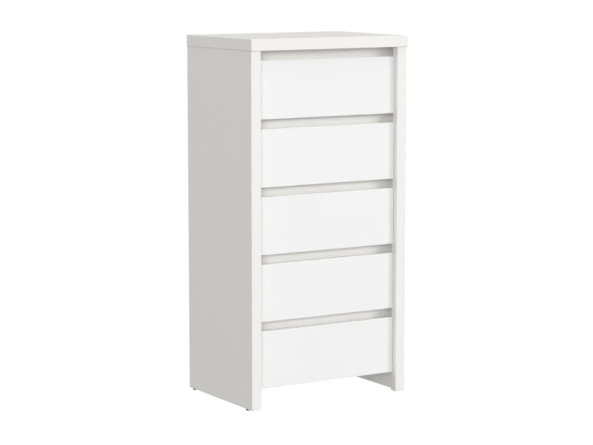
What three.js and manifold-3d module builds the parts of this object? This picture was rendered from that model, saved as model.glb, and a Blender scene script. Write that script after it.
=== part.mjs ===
// Tall chest of five drawers: a thick top on two side panels with thickened front edges, flat fronts that are
// pulled by their top edge, and drawer boxes on two-member steel slides.
// Millimetres. X runs left to right, Y front to back and Z up. The origin is on the floor, under the middle
// of the chest. Inside the chest group, Y is counted from the side panels' front edges instead.
import * as THREE from "three";
import { mergeVertices } from "three/addons/utils/BufferGeometryUtils.js";
import Module from "manifold-3d";

const wasm = await Module();
wasm.setup();

// ---- Driving dimensions ----

const GAP = 0.3; // left between two pieces that touch
const OVERCUT = 1; // how far a groove's cutter reaches past the board it cuts

// Carcass
const HEIGHT = 1165;
const CARCASS_WIDTH = 576; // over the side panels
const CARCASS_DEPTH = 411; // of the side panels
const BOARD = 16;
const TOP_THICKNESS = 36;
const TOP_SIDE_OVERHANG = 2;
const TOP_FRONT_OVERHANG = 5;
const STRIP_WIDTH = 18; // front strip, glued inside the side panel's front edge
const STRIP_DEPTH = 26;
const BACK_THICKNESS = 3;
const BACK_INSET = 2; // from the side panels' outer faces
const BACK_ABOVE_UNDERSIDE = 18; // how far the back laps over the top panel's rear edge

// Glides under the side panels
const GLIDE_RADIUS = 7.5;
const GLIDE_HEIGHT = 5;
const GLIDE_SEGMENTS = 32;
const GLIDE_FRONT_Y = 38;
const GLIDE_REAR_Y = 387;

// Bottom panel
const BOTTOM_PANEL_Z = 67;
const BOTTOM_PANEL_SETBACK = 36;

// Drawer fronts
const DRAWERS = 5;
const FRONT_WIDTH = 504;
const FRONT_HEIGHT = 182;
const FRONT_SETBACK = 17;
const LOWEST_FRONT_Z = 68;
const FRONT_PITCH = 212; // a front and the grip gap above it

// Grip rails, one behind the gap above each front
const RAIL_SETBACK = 50;
const RAIL_HEIGHT = 60;
const RAIL_BELOW_GAP = 14; // how far a rail reaches below its front's top edge

// Drawer boxes; heights are counted from the front's lower edge
const BOX_BOARD = 12;
const BOX_WIDTH = 482;
const BOX_DEPTH = 360;
const BOX_LOW = 22;
const BOX_HIGH = 162;
const SHEET = 3;
const GROOVE_Z = 30;
const GROOVE_DEPTH = 6;
const GROOVE_HEIGHT = 3.6;

// Slides: the drawer's channel runs inside the cabinet's channel
const STEEL = 1.2;
const SLIDE_Z = 60; // centre line
const SLIDE_LENGTH = 350;
const CABINET_SLIDE_HEIGHT = 35;
const CABINET_SLIDE_WIDTH = 10.8;
const CABINET_SLIDE_Y = 38;
const DRAWER_SLIDE_HEIGHT = 30.8;
const DRAWER_SLIDE_WIDTH = 9.2;
const DRAWER_SLIDE_Y = 36;

// Packing strips that carry the cabinet slides
const PACKING_DEPTH = 40;
const PACKING_FRONT_Y = 76;
const PACKING_REAR_Y = 350;
const PACKING_LOW_Z = 84;
const PACKING_BELOW_TOP = 1;

// ---- Dimensions that follow ----

const OUTER_X = CARCASS_WIDTH / 2;
const INNER_X = OUTER_X - BOARD;
const STRIP_X = INNER_X - STRIP_WIDTH;
const BOX_X = BOX_WIDTH / 2;
const UNDERSIDE_Z = HEIGHT - TOP_THICKNESS;
const FRONT_BACK_Y = FRONT_SETBACK + BOARD;
const BOX_FRONT_Y = FRONT_BACK_Y + GAP;
const BOX_REAR_Y = FRONT_BACK_Y + BOX_DEPTH;

// ---- Materials ----

const body = () => new THREE.MeshStandardMaterial({ color: 0xf1f0ec, roughness: 0.45 });
const gloss = () => new THREE.MeshStandardMaterial({ color: 0xf5f5f5, roughness: 0.12 });
const boxBoard = () => new THREE.MeshStandardMaterial({ color: 0xeceae5, roughness: 0.5 });
const hardboard = () => new THREE.MeshStandardMaterial({ color: 0x8c6b4f, roughness: 0.75 });
const coatedSheet = () => new THREE.MeshStandardMaterial({ color: 0xe6e3dc, roughness: 0.6 });
const steel = () => new THREE.MeshStandardMaterial({ color: 0xb9bcbf, roughness: 0.35, metalness: 0.9 });
const blackPlastic = () => new THREE.MeshStandardMaterial({ color: 0x161616, roughness: 0.55 });

// ---- Geometry helpers ----

// A rectangular board between two opposite corners.
function board([x0, x1], [y0, y1], [z0, z1]) {
  const geometry = new THREE.BoxGeometry(x1 - x0, y1 - y0, z1 - z0);
  return geometry.translate((x0 + x1) / 2, (y0 + y1) / 2, (z0 + z1) / 2);
}

// The same board on the left side for side = -1, or on the right for side = 1.
function sideBoard(side, [inner, outer], ySpan, zSpan) {
  const xSpan = side < 0 ? [-outer, -inner] : [inner, outer];
  return board(xSpan, ySpan, zSpan);
}

function toSolid(geometry) {
  const bare = geometry.clone();
  bare.deleteAttribute("normal");
  bare.deleteAttribute("uv");
  const merged = mergeVertices(bare);
  const vertProperties = merged.attributes.position.array;
  const triVerts = new Uint32Array(merged.index.array);
  return new wasm.Manifold(new wasm.Mesh({ numProp: 3, vertProperties, triVerts }));
}

function toGeometry(solid) {
  const { vertProperties, triVerts } = solid.getMesh();
  const geometry = new THREE.BufferGeometry();
  geometry.setAttribute("position", new THREE.BufferAttribute(vertProperties, 3));
  geometry.setIndex(new THREE.BufferAttribute(triVerts, 1));
  geometry.computeVertexNormals();
  return geometry;
}

const joined = (...parts) => toGeometry(parts.map(toSolid).reduce((all, part) => all.add(part)));
const cut = (stock, tool) => toGeometry(toSolid(stock).subtract(toSolid(tool)));

// Adds a named piece to a group.
function add(group, name, geometry, material) {
  const mesh = new THREE.Mesh(geometry, material);
  mesh.name = name;
  group.add(mesh);
}

// A steel channel along Y, lying on its web: the web is at x = 0 and the flanges point to +X.
function channel(width, height, length) {
  const half = height / 2;
  const outline = [
    [0, -half],
    [width, -half],
    [width, -half + STEEL],
    [STEEL, -half + STEEL],
    [STEEL, half - STEEL],
    [width, half - STEEL],
    [width, half],
    [0, half],
  ];
  const section = new THREE.Shape(outline.map(([x, z]) => new THREE.Vector2(x, z)));
  const geometry = new THREE.ExtrudeGeometry(section, { depth: length, bevelEnabled: false });
  return geometry.rotateX(Math.PI / 2).translate(0, length, 0);
}

const SIDES = [
  { name: "left", sign: -1 },
  { name: "right", sign: 1 },
];
const frontZ = (number) => LOWEST_FRONT_Z + (DRAWERS - number) * FRONT_PITCH;

// ---- Carcass ----

function topPanel(chest) {
  const x = OUTER_X + TOP_SIDE_OVERHANG;
  const panel = board([-x, x], [-TOP_FRONT_OVERHANG, CARCASS_DEPTH], [UNDERSIDE_Z, HEIGHT]);
  add(chest, "top_panel", panel, body());
}

// A side panel, made up of the board, its front strip and two packing strips, all glued together.
function sidePanel(chest, { name, sign }) {
  const zSpan = [GLIDE_HEIGHT, UNDERSIDE_Z - GAP];
  const packingZ = [PACKING_LOW_Z, UNDERSIDE_Z - PACKING_BELOW_TOP];
  const stripX = [STRIP_X, OUTER_X - BOARD / 2];
  const panel = joined(
    sideBoard(sign, [INNER_X, OUTER_X], [0, CARCASS_DEPTH], zSpan),
    sideBoard(sign, stripX, [0, STRIP_DEPTH], zSpan),
    sideBoard(sign, stripX, [PACKING_FRONT_Y, PACKING_FRONT_Y + PACKING_DEPTH], packingZ),
    sideBoard(sign, stripX, [PACKING_REAR_Y, PACKING_REAR_Y + PACKING_DEPTH], packingZ),
  );
  add(chest, `side_panel_${name}`, panel, body());
}

function bottomPanel(chest) {
  const x = INNER_X - GAP;
  const zSpan = [BOTTOM_PANEL_Z, BOTTOM_PANEL_Z + BOARD];
  add(chest, "bottom_panel", board([-x, x], [BOTTOM_PANEL_SETBACK, CARCASS_DEPTH], zSpan), body());
}

function backPanel(chest) {
  const x = OUTER_X - BACK_INSET;
  const ySpan = [CARCASS_DEPTH + GAP, CARCASS_DEPTH + BACK_THICKNESS];
  const zSpan = [BOTTOM_PANEL_Z, UNDERSIDE_Z + BACK_ABOVE_UNDERSIDE];
  add(chest, "back_panel", board([-x, x], ySpan, zSpan), hardboard());
}

// The rail behind the gap above a front. The top one is cut short by the top panel.
function gripRail(chest, number) {
  const x = INNER_X - GAP;
  const low = frontZ(number) + FRONT_HEIGHT - RAIL_BELOW_GAP;
  const high = Math.min(low + RAIL_HEIGHT, UNDERSIDE_Z - GAP);
  const rail = board([-x, x], [RAIL_SETBACK, RAIL_SETBACK + BOARD], [low, high]);
  add(chest, `grip_rail_${number}`, rail, body());
}

function glides(chest, { name, sign }) {
  for (const [place, y] of [["front", GLIDE_FRONT_Y], ["rear", GLIDE_REAR_Y]]) {
    const high = GLIDE_HEIGHT - GAP;
    const glide = new THREE.CylinderGeometry(GLIDE_RADIUS, GLIDE_RADIUS, high, GLIDE_SEGMENTS);
    glide.rotateX(Math.PI / 2).translate(sign * (OUTER_X - BOARD / 2), y, high / 2);
    add(chest, `glide_${place}_${name}`, glide, blackPlastic());
  }
}

// The fixed channel, with its web on the packing strips and its flanges pointing to the drawer.
function cabinetSlide(chest, { name, sign }, number) {
  const slide = channel(CABINET_SLIDE_WIDTH, CABINET_SLIDE_HEIGHT, SLIDE_LENGTH);
  if (sign > 0) slide.rotateY(Math.PI);
  slide.translate(sign * (STRIP_X - GAP), CABINET_SLIDE_Y, frontZ(number) + SLIDE_Z);
  add(chest, `cabinet_slide_${name}_${number}`, slide, steel());
}

// ---- Drawer ----

function drawerFront(drawer, prefix) {
  const x = FRONT_WIDTH / 2;
  const grooveX = BOX_X - BOX_BOARD + GROOVE_DEPTH;
  const front = board([-x, x], [FRONT_SETBACK, FRONT_BACK_Y], [0, FRONT_HEIGHT]);
  const groove = board(
    [-grooveX, grooveX],
    [FRONT_BACK_Y - GROOVE_DEPTH, FRONT_BACK_Y + OVERCUT],
    [GROOVE_Z, GROOVE_Z + GROOVE_HEIGHT],
  );
  add(drawer, `${prefix}_front`, cut(front, groove), gloss());
}

function drawerSide(drawer, prefix, { name, sign }) {
  const inner = BOX_X - BOX_BOARD;
  const side = sideBoard(sign, [inner, BOX_X], [BOX_FRONT_Y, BOX_REAR_Y], [BOX_LOW, BOX_HIGH]);
  const groove = sideBoard(
    sign,
    [inner - OVERCUT, inner + GROOVE_DEPTH],
    [BOX_FRONT_Y - OVERCUT, BOX_REAR_Y + OVERCUT],
    [GROOVE_Z, GROOVE_Z + GROOVE_HEIGHT],
  );
  add(drawer, `${prefix}_side_${name}`, cut(side, groove), boxBoard());
}

// The bottom sheet runs in the grooves of front and sides, and under the back.
function drawerBottom(drawer, prefix) {
  const x = BOX_X - BOX_BOARD + GROOVE_DEPTH - GAP;
  const z = GROOVE_Z + (GROOVE_HEIGHT - SHEET) / 2;
  const sheet = board([-x, x], [FRONT_BACK_Y - GROOVE_DEPTH + GAP, BOX_REAR_Y], [z, z + SHEET]);
  add(drawer, `${prefix}_bottom`, sheet, coatedSheet());
}

function drawerBack(drawer, prefix) {
  const x = BOX_X - BOX_BOARD - GAP;
  const zSpan = [GROOVE_Z + GROOVE_HEIGHT, BOX_HIGH];
  add(drawer, `${prefix}_back`, board([-x, x], [BOX_REAR_Y - BOX_BOARD, BOX_REAR_Y], zSpan), boxBoard());
}

// The moving channel, with its web on the drawer side and its flanges inside the cabinet's channel.
function drawerSlide(drawer, prefix, { name, sign }) {
  const slide = channel(DRAWER_SLIDE_WIDTH, DRAWER_SLIDE_HEIGHT, SLIDE_LENGTH);
  if (sign < 0) slide.rotateY(Math.PI);
  slide.translate(sign * (BOX_X + GAP), DRAWER_SLIDE_Y, SLIDE_Z);
  add(drawer, `${prefix}_slide_${name}`, slide, steel());
}

function drawer(number) {
  const group = new THREE.Group();
  const prefix = `drawer_${number}`;
  group.position.z = frontZ(number);
  drawerFront(group, prefix);
  for (const side of SIDES) drawerSide(group, prefix, side);
  drawerBack(group, prefix);
  drawerBottom(group, prefix);
  for (const side of SIDES) drawerSlide(group, prefix, side);
  return group;
}

// ---- Assembly ----

const chest = new THREE.Group();
chest.position.y = -(CARCASS_DEPTH + BACK_THICKNESS - TOP_FRONT_OVERHANG) / 2;
topPanel(chest);
for (const side of SIDES) {
  sidePanel(chest, side);
  glides(chest, side);
}
bottomPanel(chest);
backPanel(chest);
for (let number = 1; number <= DRAWERS; number++) {
  gripRail(chest, number);
  for (const side of SIDES) cabinetSlide(chest, side, number);
  chest.add(drawer(number));
}

const model = new THREE.Group();
model.add(chest);

export default model;
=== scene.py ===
import math
import random

import bmesh
import bpy
from mathutils import Matrix, Vector

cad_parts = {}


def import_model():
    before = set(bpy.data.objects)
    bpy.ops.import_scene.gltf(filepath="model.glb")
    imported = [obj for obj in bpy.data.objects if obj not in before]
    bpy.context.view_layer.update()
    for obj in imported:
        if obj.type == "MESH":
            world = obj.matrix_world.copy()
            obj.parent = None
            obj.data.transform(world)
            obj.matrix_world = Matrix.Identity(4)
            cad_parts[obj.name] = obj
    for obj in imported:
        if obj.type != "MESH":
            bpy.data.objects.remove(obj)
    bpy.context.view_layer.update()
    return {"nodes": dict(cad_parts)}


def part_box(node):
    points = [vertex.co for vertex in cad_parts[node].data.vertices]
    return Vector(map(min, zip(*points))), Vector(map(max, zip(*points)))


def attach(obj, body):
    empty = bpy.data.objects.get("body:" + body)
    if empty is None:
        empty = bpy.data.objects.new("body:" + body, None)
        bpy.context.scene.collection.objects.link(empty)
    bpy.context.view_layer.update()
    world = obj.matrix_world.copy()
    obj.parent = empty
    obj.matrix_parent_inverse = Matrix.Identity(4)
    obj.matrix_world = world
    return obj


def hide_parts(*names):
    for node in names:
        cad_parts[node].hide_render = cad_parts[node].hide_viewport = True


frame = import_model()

MM = 0.001
DRAWERS = range(1, 6)
SIDES = {"left": -1, "right": 1}
X, Y, Z = Vector((1, 0, 0)), Vector((0, 1, 0)), Vector((0, 0, 1))


# ---- Node helpers ----

FACING_LIMIT = 0.7  # cosine of the angle up to which a surface counts as facing a way


def new_material(name):
    """A material with its node tree, Principled shader and object coordinates."""
    material = bpy.data.materials.new(name)
    material.use_nodes = True
    tree = material.node_tree
    shader = tree.nodes["Principled BSDF"]
    coordinates = tree.nodes.new("ShaderNodeTexCoord")
    return material, tree, shader, coordinates


def noise(tree, vector, scale, detail=3.0, roughness=0.5):
    node = tree.nodes.new("ShaderNodeTexNoise")
    node.inputs["Scale"].default_value = scale
    node.inputs["Detail"].default_value = detail
    node.inputs["Roughness"].default_value = roughness
    tree.links.new(vector, node.inputs["Vector"])
    return node.outputs["Fac"]


def stretched(tree, vector, scale):
    """The coordinates multiplied per axis, for grain that runs one way."""
    node = tree.nodes.new("ShaderNodeMapping")
    node.inputs["Scale"].default_value = scale
    tree.links.new(vector, node.inputs["Vector"])
    return node.outputs["Vector"]


def ramp(tree, factor, low, high, start=0.3, end=0.7):
    """A colour between low and high as factor goes from start to end."""
    node = tree.nodes.new("ShaderNodeValToRGB")
    node.color_ramp.elements[0].position = start
    node.color_ramp.elements[1].position = end
    node.color_ramp.elements[0].color = (*low, 1)
    node.color_ramp.elements[1].color = (*high, 1)
    tree.links.new(factor, node.inputs["Fac"])
    return node.outputs["Color"]


def spread(tree, factor, low, high):
    """A number between low and high as factor goes from 0 to 1."""
    node = tree.nodes.new("ShaderNodeMapRange")
    node.inputs["To Min"].default_value = low
    node.inputs["To Max"].default_value = high
    tree.links.new(factor, node.inputs["Value"])
    return node.outputs["Result"]


def blend_colour(tree, factor, first, second):
    node = tree.nodes.new("ShaderNodeMix")
    node.data_type = "RGBA"
    tree.links.new(factor, node.inputs["Factor"])
    tree.links.new(first, node.inputs["A"])
    tree.links.new(second, node.inputs["B"])
    return node.outputs["Result"]


def halfway(tree, first, second):
    """The colour half way between two colours."""
    node = tree.nodes.new("ShaderNodeMix")
    node.data_type = "RGBA"
    node.inputs["Factor"].default_value = 0.5
    tree.links.new(first, node.inputs["A"])
    tree.links.new(second, node.inputs["B"])
    return node.outputs["Result"]


def blend_number(tree, factor, first, second):
    node = tree.nodes.new("ShaderNodeMix")
    tree.links.new(factor, node.inputs["Factor"])
    tree.links.new(first, node.inputs["A"])
    tree.links.new(second, node.inputs["B"])
    return node.outputs["Result"]


def facing(tree, coordinates, direction):
    """1 where the surface faces that way, 0 elsewhere."""
    dot = tree.nodes.new("ShaderNodeVectorMath")
    dot.operation = "DOT_PRODUCT"
    dot.inputs[1].default_value = direction
    tree.links.new(coordinates.outputs["Normal"], dot.inputs[0])
    above = tree.nodes.new("ShaderNodeMath")
    above.operation = "GREATER_THAN"
    above.inputs[1].default_value = FACING_LIMIT
    tree.links.new(dot.outputs["Value"], above.inputs[0])
    return above.outputs["Value"]


def bump(tree, shader, height, distance, strength=1.0):
    node = tree.nodes.new("ShaderNodeBump")
    node.inputs["Distance"].default_value = distance
    node.inputs["Strength"].default_value = strength
    tree.links.new(height, node.inputs["Height"])
    tree.links.new(node.outputs["Normal"], shader.inputs["Normal"])
    return node


# ---- Materials ----

def laminate(name, lengthwise):
    """Matt off-white laminate, embossed with a fine grain that runs along one axis (0 for X, 2 for Z)."""
    material, tree, shader, coordinates = new_material(name)
    place = coordinates.outputs["Object"]
    cloud = noise(tree, place, 4, detail=2)
    scale = [950, 950, 950]
    scale[lengthwise] = 28
    grain = noise(tree, stretched(tree, place, scale), 1, detail=3, roughness=0.6)
    pearl = noise(tree, place, 1300, detail=2, roughness=0.6)
    soft = ramp(tree, cloud, (0.9, 0.89, 0.86), (0.912, 0.902, 0.872))
    streaked = ramp(tree, grain, (0.885, 0.873, 0.84), (0.925, 0.917, 0.89))
    tree.links.new(halfway(tree, soft, streaked), shader.inputs["Base Color"])
    tree.links.new(spread(tree, pearl, 0.55, 0.68), shader.inputs["Roughness"])
    shader.inputs["Specular IOR Level"].default_value = 0.4
    relief = tree.nodes.new("ShaderNodeMath")
    relief.operation = "ADD"
    tree.links.new(grain, relief.inputs[0])
    tree.links.new(pearl, relief.inputs[1])
    bump(tree, shader, relief.outputs["Value"], 0.05 * MM, 0.6)
    return material


def gloss():
    """High-gloss white foil on the front and edges, satin melamine on the back of the front."""
    material, tree, shader, coordinates = new_material("gloss_front")
    place = coordinates.outputs["Object"]
    cloud = noise(tree, place, 5, detail=2)
    grain = noise(tree, place, 900, detail=2)
    ripple = noise(tree, place, 55, detail=1)
    back = facing(tree, coordinates, (0, 1, 0))
    white = ramp(tree, cloud, (0.925, 0.925, 0.923), (0.935, 0.935, 0.933))
    melamine = ramp(tree, grain, (0.81, 0.805, 0.785), (0.83, 0.825, 0.805))
    tree.links.new(blend_colour(tree, back, white, melamine), shader.inputs["Base Color"])
    shine = spread(tree, cloud, 0.05, 0.08)
    satin = spread(tree, grain, 0.4, 0.5)
    tree.links.new(blend_number(tree, back, shine, satin), shader.inputs["Roughness"])
    bump(tree, shader, ripple, 0.02 * MM, 0.6)
    return material


def box_board():
    """Satin off-white foil of the drawer sides and backs, with a faint lengthwise grain."""
    material, tree, shader, coordinates = new_material("drawer_board")
    along = stretched(tree, coordinates.outputs["Object"], (900, 25, 900))
    grain = noise(tree, along, 1, detail=4)
    cloud = noise(tree, coordinates.outputs["Object"], 6, detail=2)
    tree.links.new(ramp(tree, grain, (0.77, 0.765, 0.745), (0.81, 0.805, 0.785)), shader.inputs["Base Color"])
    tree.links.new(spread(tree, cloud, 0.42, 0.55), shader.inputs["Roughness"])
    bump(tree, shader, grain, 0.08 * MM, 0.5)
    return material


def hardboard(name, raw_side):
    """Coated white sheet whose raw_side is bare brown hardboard."""
    material, tree, shader, coordinates = new_material(name)
    place = coordinates.outputs["Object"]
    fibres = noise(tree, place, 700, detail=5, roughness=0.7)
    patches = noise(tree, place, 9, detail=3)
    bare = facing(tree, coordinates, raw_side)
    fibre_colour = ramp(tree, fibres, (0.2, 0.125, 0.068), (0.36, 0.245, 0.15), 0.25, 0.75)
    patch_colour = ramp(tree, patches, (0.27, 0.175, 0.1), (0.32, 0.215, 0.128))
    brown = halfway(tree, fibre_colour, patch_colour)
    coat = ramp(tree, patches, (0.78, 0.772, 0.75), (0.8, 0.792, 0.77))
    tree.links.new(blend_colour(tree, bare, coat, brown), shader.inputs["Base Color"])
    smooth = spread(tree, patches, 0.38, 0.48)
    rough = spread(tree, fibres, 0.7, 0.85)
    tree.links.new(blend_number(tree, bare, smooth, rough), shader.inputs["Roughness"])
    bump(tree, shader, fibres, 0.15 * MM, 0.4)
    return material


def zinc():
    """Zinc-plated sheet steel."""
    material, tree, shader, coordinates = new_material("slide_steel")
    drawn = stretched(tree, coordinates.outputs["Object"], (1500, 18, 1500))
    streaks = noise(tree, drawn, 1, detail=3)
    bloom = noise(tree, coordinates.outputs["Object"], 60, detail=4)
    shader.inputs["Metallic"].default_value = 1.0
    tree.links.new(ramp(tree, bloom, (0.52, 0.53, 0.545), (0.66, 0.67, 0.685)), shader.inputs["Base Color"])
    tree.links.new(spread(tree, streaks, 0.24, 0.42), shader.inputs["Roughness"])
    bump(tree, shader, streaks, 0.03 * MM, 0.5)
    return material


def plastic(name, dark, light, smooth, rough):
    """Moulded plastic with a spark-eroded texture."""
    material, tree, shader, coordinates = new_material(name)
    texture = noise(tree, coordinates.outputs["Object"], 1100, detail=3)
    tree.links.new(ramp(tree, texture, dark, light), shader.inputs["Base Color"])
    tree.links.new(spread(tree, texture, smooth, rough), shader.inputs["Roughness"])
    bump(tree, shader, texture, 0.05 * MM, 0.5)
    return material


LEVEL_LAMINATE = laminate("body_laminate", 0)
UPRIGHT_LAMINATE = laminate("upright_laminate", 2)
GLOSS = gloss()
BOX_BOARD = box_board()
REAR_SHEET = hardboard("hardboard", (0, 1, 0))
DRAWER_SHEET = hardboard("drawer_hardboard", (0, 0, -1))
ZINC = zinc()
BLACK_PLASTIC = plastic("glide_plastic", (0.004, 0.004, 0.004), (0.009, 0.009, 0.009), 0.55, 0.7)
NYLON = plastic("nylon", (0.62, 0.615, 0.59), (0.7, 0.695, 0.67), 0.35, 0.48)
CAP_PLASTIC = plastic("cap_plastic", (0.93, 0.925, 0.905), (0.95, 0.945, 0.925), 0.3, 0.4)


# ---- CAD nodes: soft edges and surfaces ----

WELD_REACH = 0.01 * MM
FLAT_ANGLE = math.radians(1)  # faces closer to flat than this are joined
EDGE_ANGLE = math.radians(40)  # edges sharper than this are rounded
LARGE_FACES_ONLY = 100  # the normals follow the large faces, so that those shade flat


def soften(node, material, radius, segments=3):
    """Gives a CAD node its material and rounds its sharp edges."""
    piece = frame["nodes"][node]
    piece.data.materials.clear()
    piece.data.materials.append(material)
    weld = piece.modifiers.new("weld", "WELD")
    weld.merge_threshold = WELD_REACH
    flat = piece.modifiers.new("flat_faces", "DECIMATE")
    flat.decimate_type = "DISSOLVE"
    flat.angle_limit = FLAT_ANGLE
    bevel = piece.modifiers.new("edges", "BEVEL")
    bevel.width = radius
    bevel.segments = segments
    bevel.limit_method = "ANGLE"
    bevel.angle_limit = EDGE_ANGLE
    even = piece.modifiers.new("flat_shading", "WEIGHTED_NORMAL")
    even.weight = LARGE_FACES_ONLY
    for polygon in piece.data.polygons:
        polygon.use_smooth = True


def dress_cad_nodes():
    for side in SIDES:
        soften(f"side_panel_{side}", UPRIGHT_LAMINATE, 0.8 * MM)
        soften(f"glide_front_{side}", BLACK_PLASTIC, 0.9 * MM)
        soften(f"glide_rear_{side}", BLACK_PLASTIC, 0.9 * MM)
        for number in DRAWERS:
            soften(f"cabinet_slide_{side}_{number}", ZINC, 0.3 * MM, 2)
            soften(f"drawer_{number}_slide_{side}", ZINC, 0.3 * MM, 2)
            soften(f"drawer_{number}_side_{side}", BOX_BOARD, 0.6 * MM)
    soften("top_panel", LEVEL_LAMINATE, 1.0 * MM)
    soften("bottom_panel", LEVEL_LAMINATE, 0.8 * MM)
    for number in DRAWERS:
        soften(f"grip_rail_{number}", LEVEL_LAMINATE, 0.8 * MM)
        soften(f"drawer_{number}_front", GLOSS, 0.8 * MM)
        soften(f"drawer_{number}_back", BOX_BOARD, 0.6 * MM)
        soften(f"drawer_{number}_bottom", DRAWER_SHEET, 0.3 * MM, 2)


# ---- Small fittings: patterns in millimetres, with Z pointing out of the surface that they sit on ----

CRISP_ANGLE = math.radians(32)  # edges sharper than this stay crisp


def finished_mesh(shape, name):
    """The bmesh as a mesh with smooth faces and crisp edges."""
    bmesh.ops.recalc_face_normals(shape, faces=shape.faces)
    mesh = bpy.data.meshes.new(name)
    shape.to_mesh(mesh)
    shape.free()
    mesh.polygons.foreach_set("use_smooth", [True] * len(mesh.polygons))
    mesh.set_sharp_from_angle(angle=CRISP_ANGLE)
    return mesh


def turned(name, profile, steps=32):
    """A closed solid of revolution through (radius, height) points that start and end on the axis."""
    shape = bmesh.new()
    rings = []
    for radius, height in profile:
        around = steps if radius else 1
        turns = [2 * math.pi * k / around for k in range(around)]
        rings.append([shape.verts.new((radius * math.cos(t), radius * math.sin(t), height)) for t in turns])
    for low, high in zip(rings, rings[1:]):
        for k in range(steps):
            lower = [low[k % len(low)], low[(k + 1) % len(low)]]
            upper = [high[(k + 1) % len(high)], high[k % len(high)]]
            shape.faces.new(list(dict.fromkeys(lower + upper)))
    return finished_mesh(shape, name)


def lofted(name, sections):
    """A closed solid through outlines that all have the same number of points."""
    shape = bmesh.new()
    rings = [[shape.verts.new(point) for point in section] for section in sections]
    count = len(rings[0])
    for low, high in zip(rings, rings[1:]):
        for k in range(count):
            shape.faces.new((low[k], low[(k + 1) % count], high[(k + 1) % count], high[k]))
    shape.faces.new(rings[0])
    shape.faces.new(rings[-1])
    return finished_mesh(shape, name)


def without(stock_mesh, tool_mesh):
    """The stock with the tool's shape cut out of it."""
    stock = bpy.data.objects.new("stock", stock_mesh)
    tool = bpy.data.objects.new("tool", tool_mesh)
    for item in (stock, tool):
        bpy.context.scene.collection.objects.link(item)
    modifier = stock.modifiers.new("cut", "BOOLEAN")
    modifier.solver = "EXACT"
    modifier.object = tool
    result = bpy.data.meshes.new_from_object(stock.evaluated_get(bpy.context.evaluated_depsgraph_get()))
    for item in (stock, tool):
        bpy.data.objects.remove(item)
    result.polygons.foreach_set("use_smooth", [True] * len(result.polygons))
    result.set_sharp_from_angle(angle=CRISP_ANGLE)
    return result


def cross_tool(arm, width, top, bottom, taper=0.6):
    """The cutter for a cross recess: arms that narrow downwards."""
    quarter = [(arm, -width), (arm, width), (width, width)]
    outline = []
    for turn in range(4):
        spin = Matrix.Rotation(turn * math.pi / 2, 3, "Z")
        outline += [spin @ Vector((x, y, 0)) for x, y in quarter]
    return lofted("cross_tool", [[p * taper + Z * bottom for p in outline], [p + Z * top for p in outline]])


def pan_screw():
    """Pan head, 7.6 across and 2 high."""
    head = [(0, -0.4), (3.6, -0.4), (3.8, 0.1), (3.72, 0.75), (3.3, 1.4), (2.4, 1.82), (1.2, 1.97), (0, 2.0)]
    return without(turned("pan_screw", head), cross_tool(2.1, 0.45, 2.6, 0.5))


def wafer_screw():
    """Flat wide head, 9 across and 1.3 high."""
    head = [(0, -0.4), (4.3, -0.4), (4.5, 0.1), (4.42, 0.55), (3.9, 0.95), (2.6, 1.22), (0, 1.3)]
    return without(turned("wafer_screw", head), cross_tool(2.3, 0.5, 1.9, 0.15))


def cam():
    """Cam lock in its bore: a rim, a sunk face and a cross recess."""
    disc = [(0, -0.3), (7.5, -0.3), (7.5, 0.3), (7.3, 0.5), (6.1, 0.5), (5.8, 0.26), (0, 0.26)]
    return without(turned("cam", disc, 40), cross_tool(4.4, 0.75, 0.7, 0.04, 0.85))


def cover_cap():
    """Domed press-in cap, 12 across."""
    dome = [(0, -0.4), (5.7, -0.4), (6.0, 0.0), (6.0, 0.22), (5.75, 0.45), (4.9, 0.62), (3, 0.75), (0, 0.8)]
    return turned("cover_cap", dome, 40)


NAIL_SINK = 0.03


def nail():
    """Low domed head, sunk just under the surface."""
    head = [(0, -0.6), (1.6, -0.6), (1.75, -0.3), (1.6, -0.14), (1.0, -0.06), (0, -NAIL_SINK)]
    return turned("nail", head, 20)


def nail_dimple():
    return turned("nail_dimple", [(0, -0.55), (1.9, -0.55), (2.3, 0.5), (0, 0.5)], 20)


def channel_liner(inner, outer, deep, thin, tip):
    """The outline of a liner inside a channel: its back from deep to thin, its arms as far as tip."""
    return [(deep, -outer), (tip, -outer), (tip, -inner), (thin, -inner),
            (thin, inner), (tip, inner), (tip, outer), (deep, outer)]


def cabinet_shoe():
    """Nylon liner in the front end of a cabinet channel, with a lip over the channel's end.

    X runs from the back of the channel towards the drawer, Y to the rear from the channel's front end.
    """
    lip = channel_liner(inner=15.7, outer=17.4, deep=0.1, thin=2.6, tip=10.7)
    liner = channel_liner(inner=15.7, outer=16.2, deep=1.3, thin=2.6, tip=10.4)
    places = [(lip, -1.6), (lip, -0.1), (liner, -0.1), (liner, 18)]
    return lofted("cabinet_shoe", [[(x, y, z) for x, z in outline] for outline, y in places])


def rounded_rectangle(half_width, half_height, radius, steps=4):
    """Points round a rectangle with round corners."""
    points = []
    for quarter, (right, up) in enumerate(((1, 1), (-1, 1), (-1, -1), (1, -1))):
        for k in range(steps + 1):
            angle = (quarter + k / steps) * math.pi / 2
            x = right * (half_width - radius) + radius * math.cos(angle)
            z = up * (half_height - radius) + radius * math.sin(angle)
            points.append((x, z))
    return points


def block(half_width, half_height, corner, ends):
    """A rounded block along Y; ends lists (y, how much smaller the outline is there)."""
    sections = []
    for y, shrink in ends:
        outline = rounded_rectangle(half_width - shrink, half_height - shrink, corner)
        sections.append([(x, y, z) for x, z in outline])
    return lofted("block", sections)


def drawer_shoe():
    """Nylon block in the rear end of a drawer channel, with two moulded pockets on its open side."""
    body = block(3.6, 13.9, 1.6, [(-11, 1.2), (-9.5, 0.3), (-8, 0), (9.5, 0), (11, 0.3), (12, 1.2)])
    for middle in (-6.2, 6.2):
        pocket = block(3, 4.6, 1, [(-7, 0), (8, 0)])
        pocket.transform(Matrix.Translation((3.8, 0, middle)))
        body = without(body, pocket)
    return body


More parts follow.
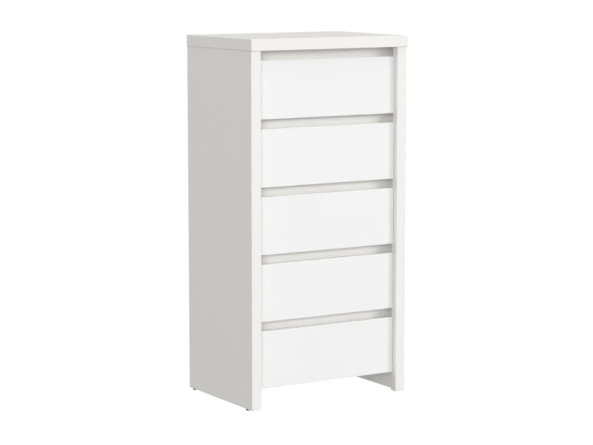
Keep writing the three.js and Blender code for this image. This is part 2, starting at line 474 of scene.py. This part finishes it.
def on_face(place, outward, turn=0.0):
    """Puts a pattern at a place, with its Z pointing outward, turned about that Z."""
    facing_out = outward.to_track_quat("Z", "Y").to_matrix().to_4x4()
    return Matrix.Translation(place) @ facing_out @ Matrix.Rotation(turn, 4, "Z") @ Matrix.Scale(MM, 4)


def in_channel(place, sign):
    """Puts a shoe in a channel: its X points to the middle of the chest for sign 1, away from it for -1."""
    half_turn = math.pi if sign > 0 else 0
    return Matrix.Translation(place) @ Matrix.Rotation(half_turn, 4, "Y") @ Matrix.Scale(MM, 4)


def stamped(name, pattern, places):
    """One mesh of copies of a pattern, one at each place."""
    shape = bmesh.new()
    for place in places:
        copy = pattern.copy()
        copy.transform(place)
        shape.from_mesh(copy)
        bpy.data.meshes.remove(copy)
    mesh = bpy.data.meshes.new(name)
    shape.to_mesh(mesh)
    shape.free()
    return mesh


def fit(mesh, material, body):
    """Adds a piece to the chest and makes it ride on its body."""
    mesh.materials.clear()
    mesh.materials.append(material)
    piece = bpy.data.objects.new(mesh.name, mesh)
    bpy.context.scene.collection.objects.link(piece)
    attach(piece, body)
    return piece


# ---- Small fittings: places, worked out from the CAD nodes ----

STEEL = 1.2 * MM
SIDE_BOARD = 16 * MM
CAP_FROM_FRONT = 50 * MM
CAP_FROM_REAR = 41 * MM
PACKING_SCREWS = (58 * MM, 332 * MM)
DRAWER_SLIDE_SCREWS = (26 * MM, 164 * MM, 294 * MM)
SHOE_FROM_END = 12.5 * MM
SHOE_TOWARDS_WEB = 0.3 * MM
CAMS_BEHIND_FRONT = 24 * MM
CAM_HEIGHTS = (28 * MM, 108 * MM)
TOP_CAMS_BELOW_TOP = 34 * MM
TOP_CAM_DEPTHS = (140 * MM, 320 * MM)
BACK_SCREW_HEIGHTS = (68 * MM, 118 * MM)
BACK_SCREW_FROM_REAR = 6 * MM
NAIL_FROM_EDGE = 7 * MM
NAIL_ROWS = 9
NAIL_COLUMNS = 5
NAIL_SCATTER = 1.5 * MM

chance = random.Random(5)

PAN_SCREW = pan_screw()
WAFER_SCREW = wafer_screw()
CAM = cam()
DRAWER_SHOE = drawer_shoe()


def any_turn():
    return chance.uniform(0, math.pi / 2)


def outer_x(node, sign):
    """The face of a node that is furthest out on the right for sign 1, or on the left for -1."""
    low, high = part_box(node)
    return high.x if sign > 0 else low.x


def middle_z(node):
    low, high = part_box(node)
    return (low.z + high.z) / 2


def evenly(start, end, intervals):
    return [start + (end - start) * k / intervals for k in range(intervals + 1)]


def cover_caps():
    """Caps over the screws that hold the bottom panel between the side panels."""
    places = []
    for side, sign in SIDES.items():
        node = f"side_panel_{side}"
        low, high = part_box(node)
        for depth in (low.y + CAP_FROM_FRONT, high.y - CAP_FROM_REAR):
            place = Vector((outer_x(node, sign), depth, middle_z("bottom_panel")))
            places.append(on_face(place, X * sign))
    fit(stamped("cover_caps", cover_cap(), places), CAP_PLASTIC, "carcass")


def top_cams():
    """Cam locks inside the side panels, which pull the top panel down."""
    places = []
    for side, sign in SIDES.items():
        node = f"side_panel_{side}"
        low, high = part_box(node)
        for depth in TOP_CAM_DEPTHS:
            face = outer_x(node, sign) - sign * SIDE_BOARD
            place = Vector((face, low.y + depth, high.z - TOP_CAMS_BELOW_TOP))
            places.append(on_face(place, X * -sign, any_turn()))
    fit(stamped("top_cams", CAM, places), ZINC, "carcass")


def cabinet_slide_fittings():
    """The screws of the cabinet's slides and the nylon shoes in their front ends."""
    screws, shoes = [], []
    for number in DRAWERS:
        for side, sign in SIDES.items():
            node = f"cabinet_slide_{side}_{number}"
            low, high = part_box(node)
            back = outer_x(node, sign)
            for depth in PACKING_SCREWS:
                place = Vector((back - sign * STEEL, low.y + depth, middle_z(node)))
                screws.append(on_face(place, X * -sign, any_turn()))
            shoes.append(in_channel(Vector((back, low.y, middle_z(node))), sign))
    fit(stamped("cabinet_slide_screws", PAN_SCREW, screws), ZINC, "carcass")
    fit(stamped("cabinet_slide_shoes", cabinet_shoe(), shoes), NYLON, "carcass")


def drawer_slide_fittings(number):
    """The screws of a drawer's slides and the nylon shoes in their rear ends."""
    screws, shoes = [], []
    for side, sign in SIDES.items():
        node = f"drawer_{number}_slide_{side}"
        low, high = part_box(node)
        web = outer_x(node, -sign) + sign * STEEL
        for depth in DRAWER_SLIDE_SCREWS:
            place = Vector((web, low.y + depth, middle_z(node)))
            screws.append(on_face(place, X * sign, any_turn()))
        middle = (web + outer_x(node, sign)) / 2 - sign * SHOE_TOWARDS_WEB
        shoes.append(in_channel(Vector((middle, high.y - SHOE_FROM_END, middle_z(node))), -sign))
    body = f"drawer_{number}"
    fit(stamped(f"{body}_slide_screws", PAN_SCREW, screws), ZINC, body)
    fit(stamped(f"{body}_slide_shoes", DRAWER_SHOE, shoes), NYLON, body)


def drawer_box_fittings(number):
    """The cam locks that hold the front, and the screws through the sides into the back."""
    cams, screws = [], []
    body = f"drawer_{number}"
    front_low, front_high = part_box(f"{body}_front")
    for side, sign in SIDES.items():
        node = f"{body}_side_{side}"
        low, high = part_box(node)
        for height in CAM_HEIGHTS:
            place = Vector((outer_x(node, -sign), front_high.y + CAMS_BEHIND_FRONT, low.z + height))
            cams.append(on_face(place, X * -sign, any_turn()))
        for height in BACK_SCREW_HEIGHTS:
            place = Vector((outer_x(node, sign), high.y - BACK_SCREW_FROM_REAR, low.z + height))
            screws.append(on_face(place, X * sign, any_turn()))
    fit(stamped(f"{body}_cams", CAM, cams), ZINC, body)
    fit(stamped(f"{body}_back_screws", WAFER_SCREW, screws), ZINC, body)


def nail_places():
    """Nails round the edge of the back panel, none of them quite in line."""
    low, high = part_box("back_panel")
    left, right = low.x + NAIL_FROM_EDGE, high.x - NAIL_FROM_EDGE
    bottom, top = low.z + NAIL_FROM_EDGE, high.z - NAIL_FROM_EDGE
    spots = [(x, z) for z in evenly(bottom, top, NAIL_ROWS) for x in (left, right)]
    spots += [(x, z) for x in evenly(left, right, NAIL_COLUMNS)[1:-1] for z in (bottom, top)]
    places = []
    for x, z in spots:
        aside = chance.uniform(-1, 1) * NAIL_SCATTER
        up = chance.uniform(-1, 1) * NAIL_SCATTER
        places.append(on_face(Vector((x + aside, high.y, z + up)), Y))
    return places


def back_sheet():
    """The back panel with a dimple round each nail, so that the nails lie below its face."""
    places = nail_places()
    sheet = without(frame["nodes"]["back_panel"].data.copy(), stamped("dimples", nail_dimple(), places))
    sheet.name = "back_sheet"
    sheet.polygons.foreach_set("use_smooth", [False] * len(sheet.polygons))
    piece = fit(sheet, REAR_SHEET, "carcass")
    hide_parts("back_panel")
    fit(stamped("back_nails", nail(), places), ZINC, "carcass")


# ---- Stage, light and camera ----

FLOOR_SIZE = 60
FLOOR_GLOW = 0.249
FLOOR_ALBEDO = 0.02
SEEN_WHITE = 1.15
SEEN_SHARE = 0.85


def floor():
    """A floor that the camera sees as white, and that sends an even light up to everything else."""
    bpy.ops.mesh.primitive_plane_add(size=FLOOR_SIZE)
    ground = bpy.context.object
    ground.name = "floor"
    material = bpy.data.materials.new("floor")
    material.use_nodes = True
    tree = material.node_tree
    tree.nodes.clear()
    diffuse = tree.nodes.new("ShaderNodeBsdfDiffuse")
    diffuse.inputs["Color"].default_value = (FLOOR_ALBEDO, FLOOR_ALBEDO, FLOOR_ALBEDO, 1)
    glow = tree.nodes.new("ShaderNodeEmission")
    glow.inputs["Strength"].default_value = FLOOR_GLOW
    lit = tree.nodes.new("ShaderNodeAddShader")
    seen = tree.nodes.new("ShaderNodeEmission")
    seen.inputs["Strength"].default_value = SEEN_WHITE
    path = tree.nodes.new("ShaderNodeLightPath")
    share = tree.nodes.new("ShaderNodeMath")
    share.operation = "MULTIPLY"
    share.inputs[1].default_value = SEEN_SHARE
    mix = tree.nodes.new("ShaderNodeMixShader")
    output = tree.nodes.new("ShaderNodeOutputMaterial")
    tree.links.new(diffuse.outputs["BSDF"], lit.inputs[0])
    tree.links.new(glow.outputs["Emission"], lit.inputs[1])
    tree.links.new(path.outputs["Is Camera Ray"], share.inputs[0])
    tree.links.new(share.outputs["Value"], mix.inputs["Fac"])
    tree.links.new(lit.outputs["Shader"], mix.inputs[1])
    tree.links.new(seen.outputs["Emission"], mix.inputs[2])
    tree.links.new(mix.outputs["Shader"], output.inputs["Surface"])
    ground.data.materials.append(material)


WORLD_FILL = 0.506


def world():
    """White to the eye, and an even fill for the light."""
    sky = bpy.data.worlds.new("studio")
    bpy.context.scene.world = sky
    sky.use_nodes = True
    tree = sky.node_tree
    fill = tree.nodes["Background"]
    fill.inputs["Strength"].default_value = WORLD_FILL
    white = tree.nodes.new("ShaderNodeBackground")
    path = tree.nodes.new("ShaderNodeLightPath")
    mix = tree.nodes.new("ShaderNodeMixShader")
    fill.inputs["Color"].default_value = (1, 1, 1, 1)
    white.inputs["Color"].default_value = (1, 1, 1, 1)
    tree.links.new(path.outputs["Is Camera Ray"], mix.inputs["Fac"])
    tree.links.new(fill.outputs["Background"], mix.inputs[1])
    tree.links.new(white.outputs["Background"], mix.inputs[2])
    tree.links.new(mix.outputs["Shader"], tree.nodes["World Output"].inputs["Surface"])


def direction(azimuth, elevation):
    """The unit vector from the chest to a place round it: azimuth 0 is in front, 90 on its right."""
    a, e = math.radians(azimuth), math.radians(elevation)
    return Vector((math.sin(a) * math.cos(e), -math.cos(a) * math.cos(e), math.sin(e)))


SUN_ELEVATION = 9
SUN_SPREAD = 28


def soft_sun(name, azimuth, strength, elevation=SUN_ELEVATION, spread_angle=SUN_SPREAD):
    """Even light from one wide stretch of the studio, too soft to throw a sharp shadow."""
    light = bpy.data.lights.new(name, "SUN")
    light.angle = math.radians(spread_angle)
    light.energy = strength
    lamp = bpy.data.objects.new(name, light)
    bpy.context.scene.collection.objects.link(lamp)
    lamp.rotation_mode = "QUATERNION"
    lamp.rotation_quaternion = direction(azimuth, elevation).to_track_quat("Z", "Y")
    lamp.visible_glossy = False


def studio_lights():
    soft_sun("front_left_light", -40, 1.286)
    soft_sun("front_right_light", 45, 1.416)
    soft_sun("top_light", 0, 0.69, elevation=80, spread_angle=40)


CAMERA_AIM = Vector((-0.0021, -0.0027, 0.5575))
CAMERA_AZIMUTH = -31.458
CAMERA_ELEVATION = 7.699
CAMERA_DISTANCE = 6.4523
CAMERA_LENS = 120.41


def camera():
    data = bpy.data.cameras.new("camera")
    data.lens = CAMERA_LENS
    data.clip_end = 200
    eye = bpy.data.objects.new("camera", data)
    bpy.context.scene.collection.objects.link(eye)
    back = direction(CAMERA_AZIMUTH, CAMERA_ELEVATION)
    eye.location = CAMERA_AIM + back * CAMERA_DISTANCE
    eye.rotation_mode = "QUATERNION"
    eye.rotation_quaternion = (-back).to_track_quat("-Z", "Y")
    bpy.context.scene.camera = eye


camera()
floor()
world()
studio_lights()
bpy.context.scene.view_settings.view_transform = "Standard"
dress_cad_nodes()
cover_caps()
top_cams()
cabinet_slide_fittings()
for number in DRAWERS:
    drawer_slide_fittings(number)
    drawer_box_fittings(number)
back_sheet()
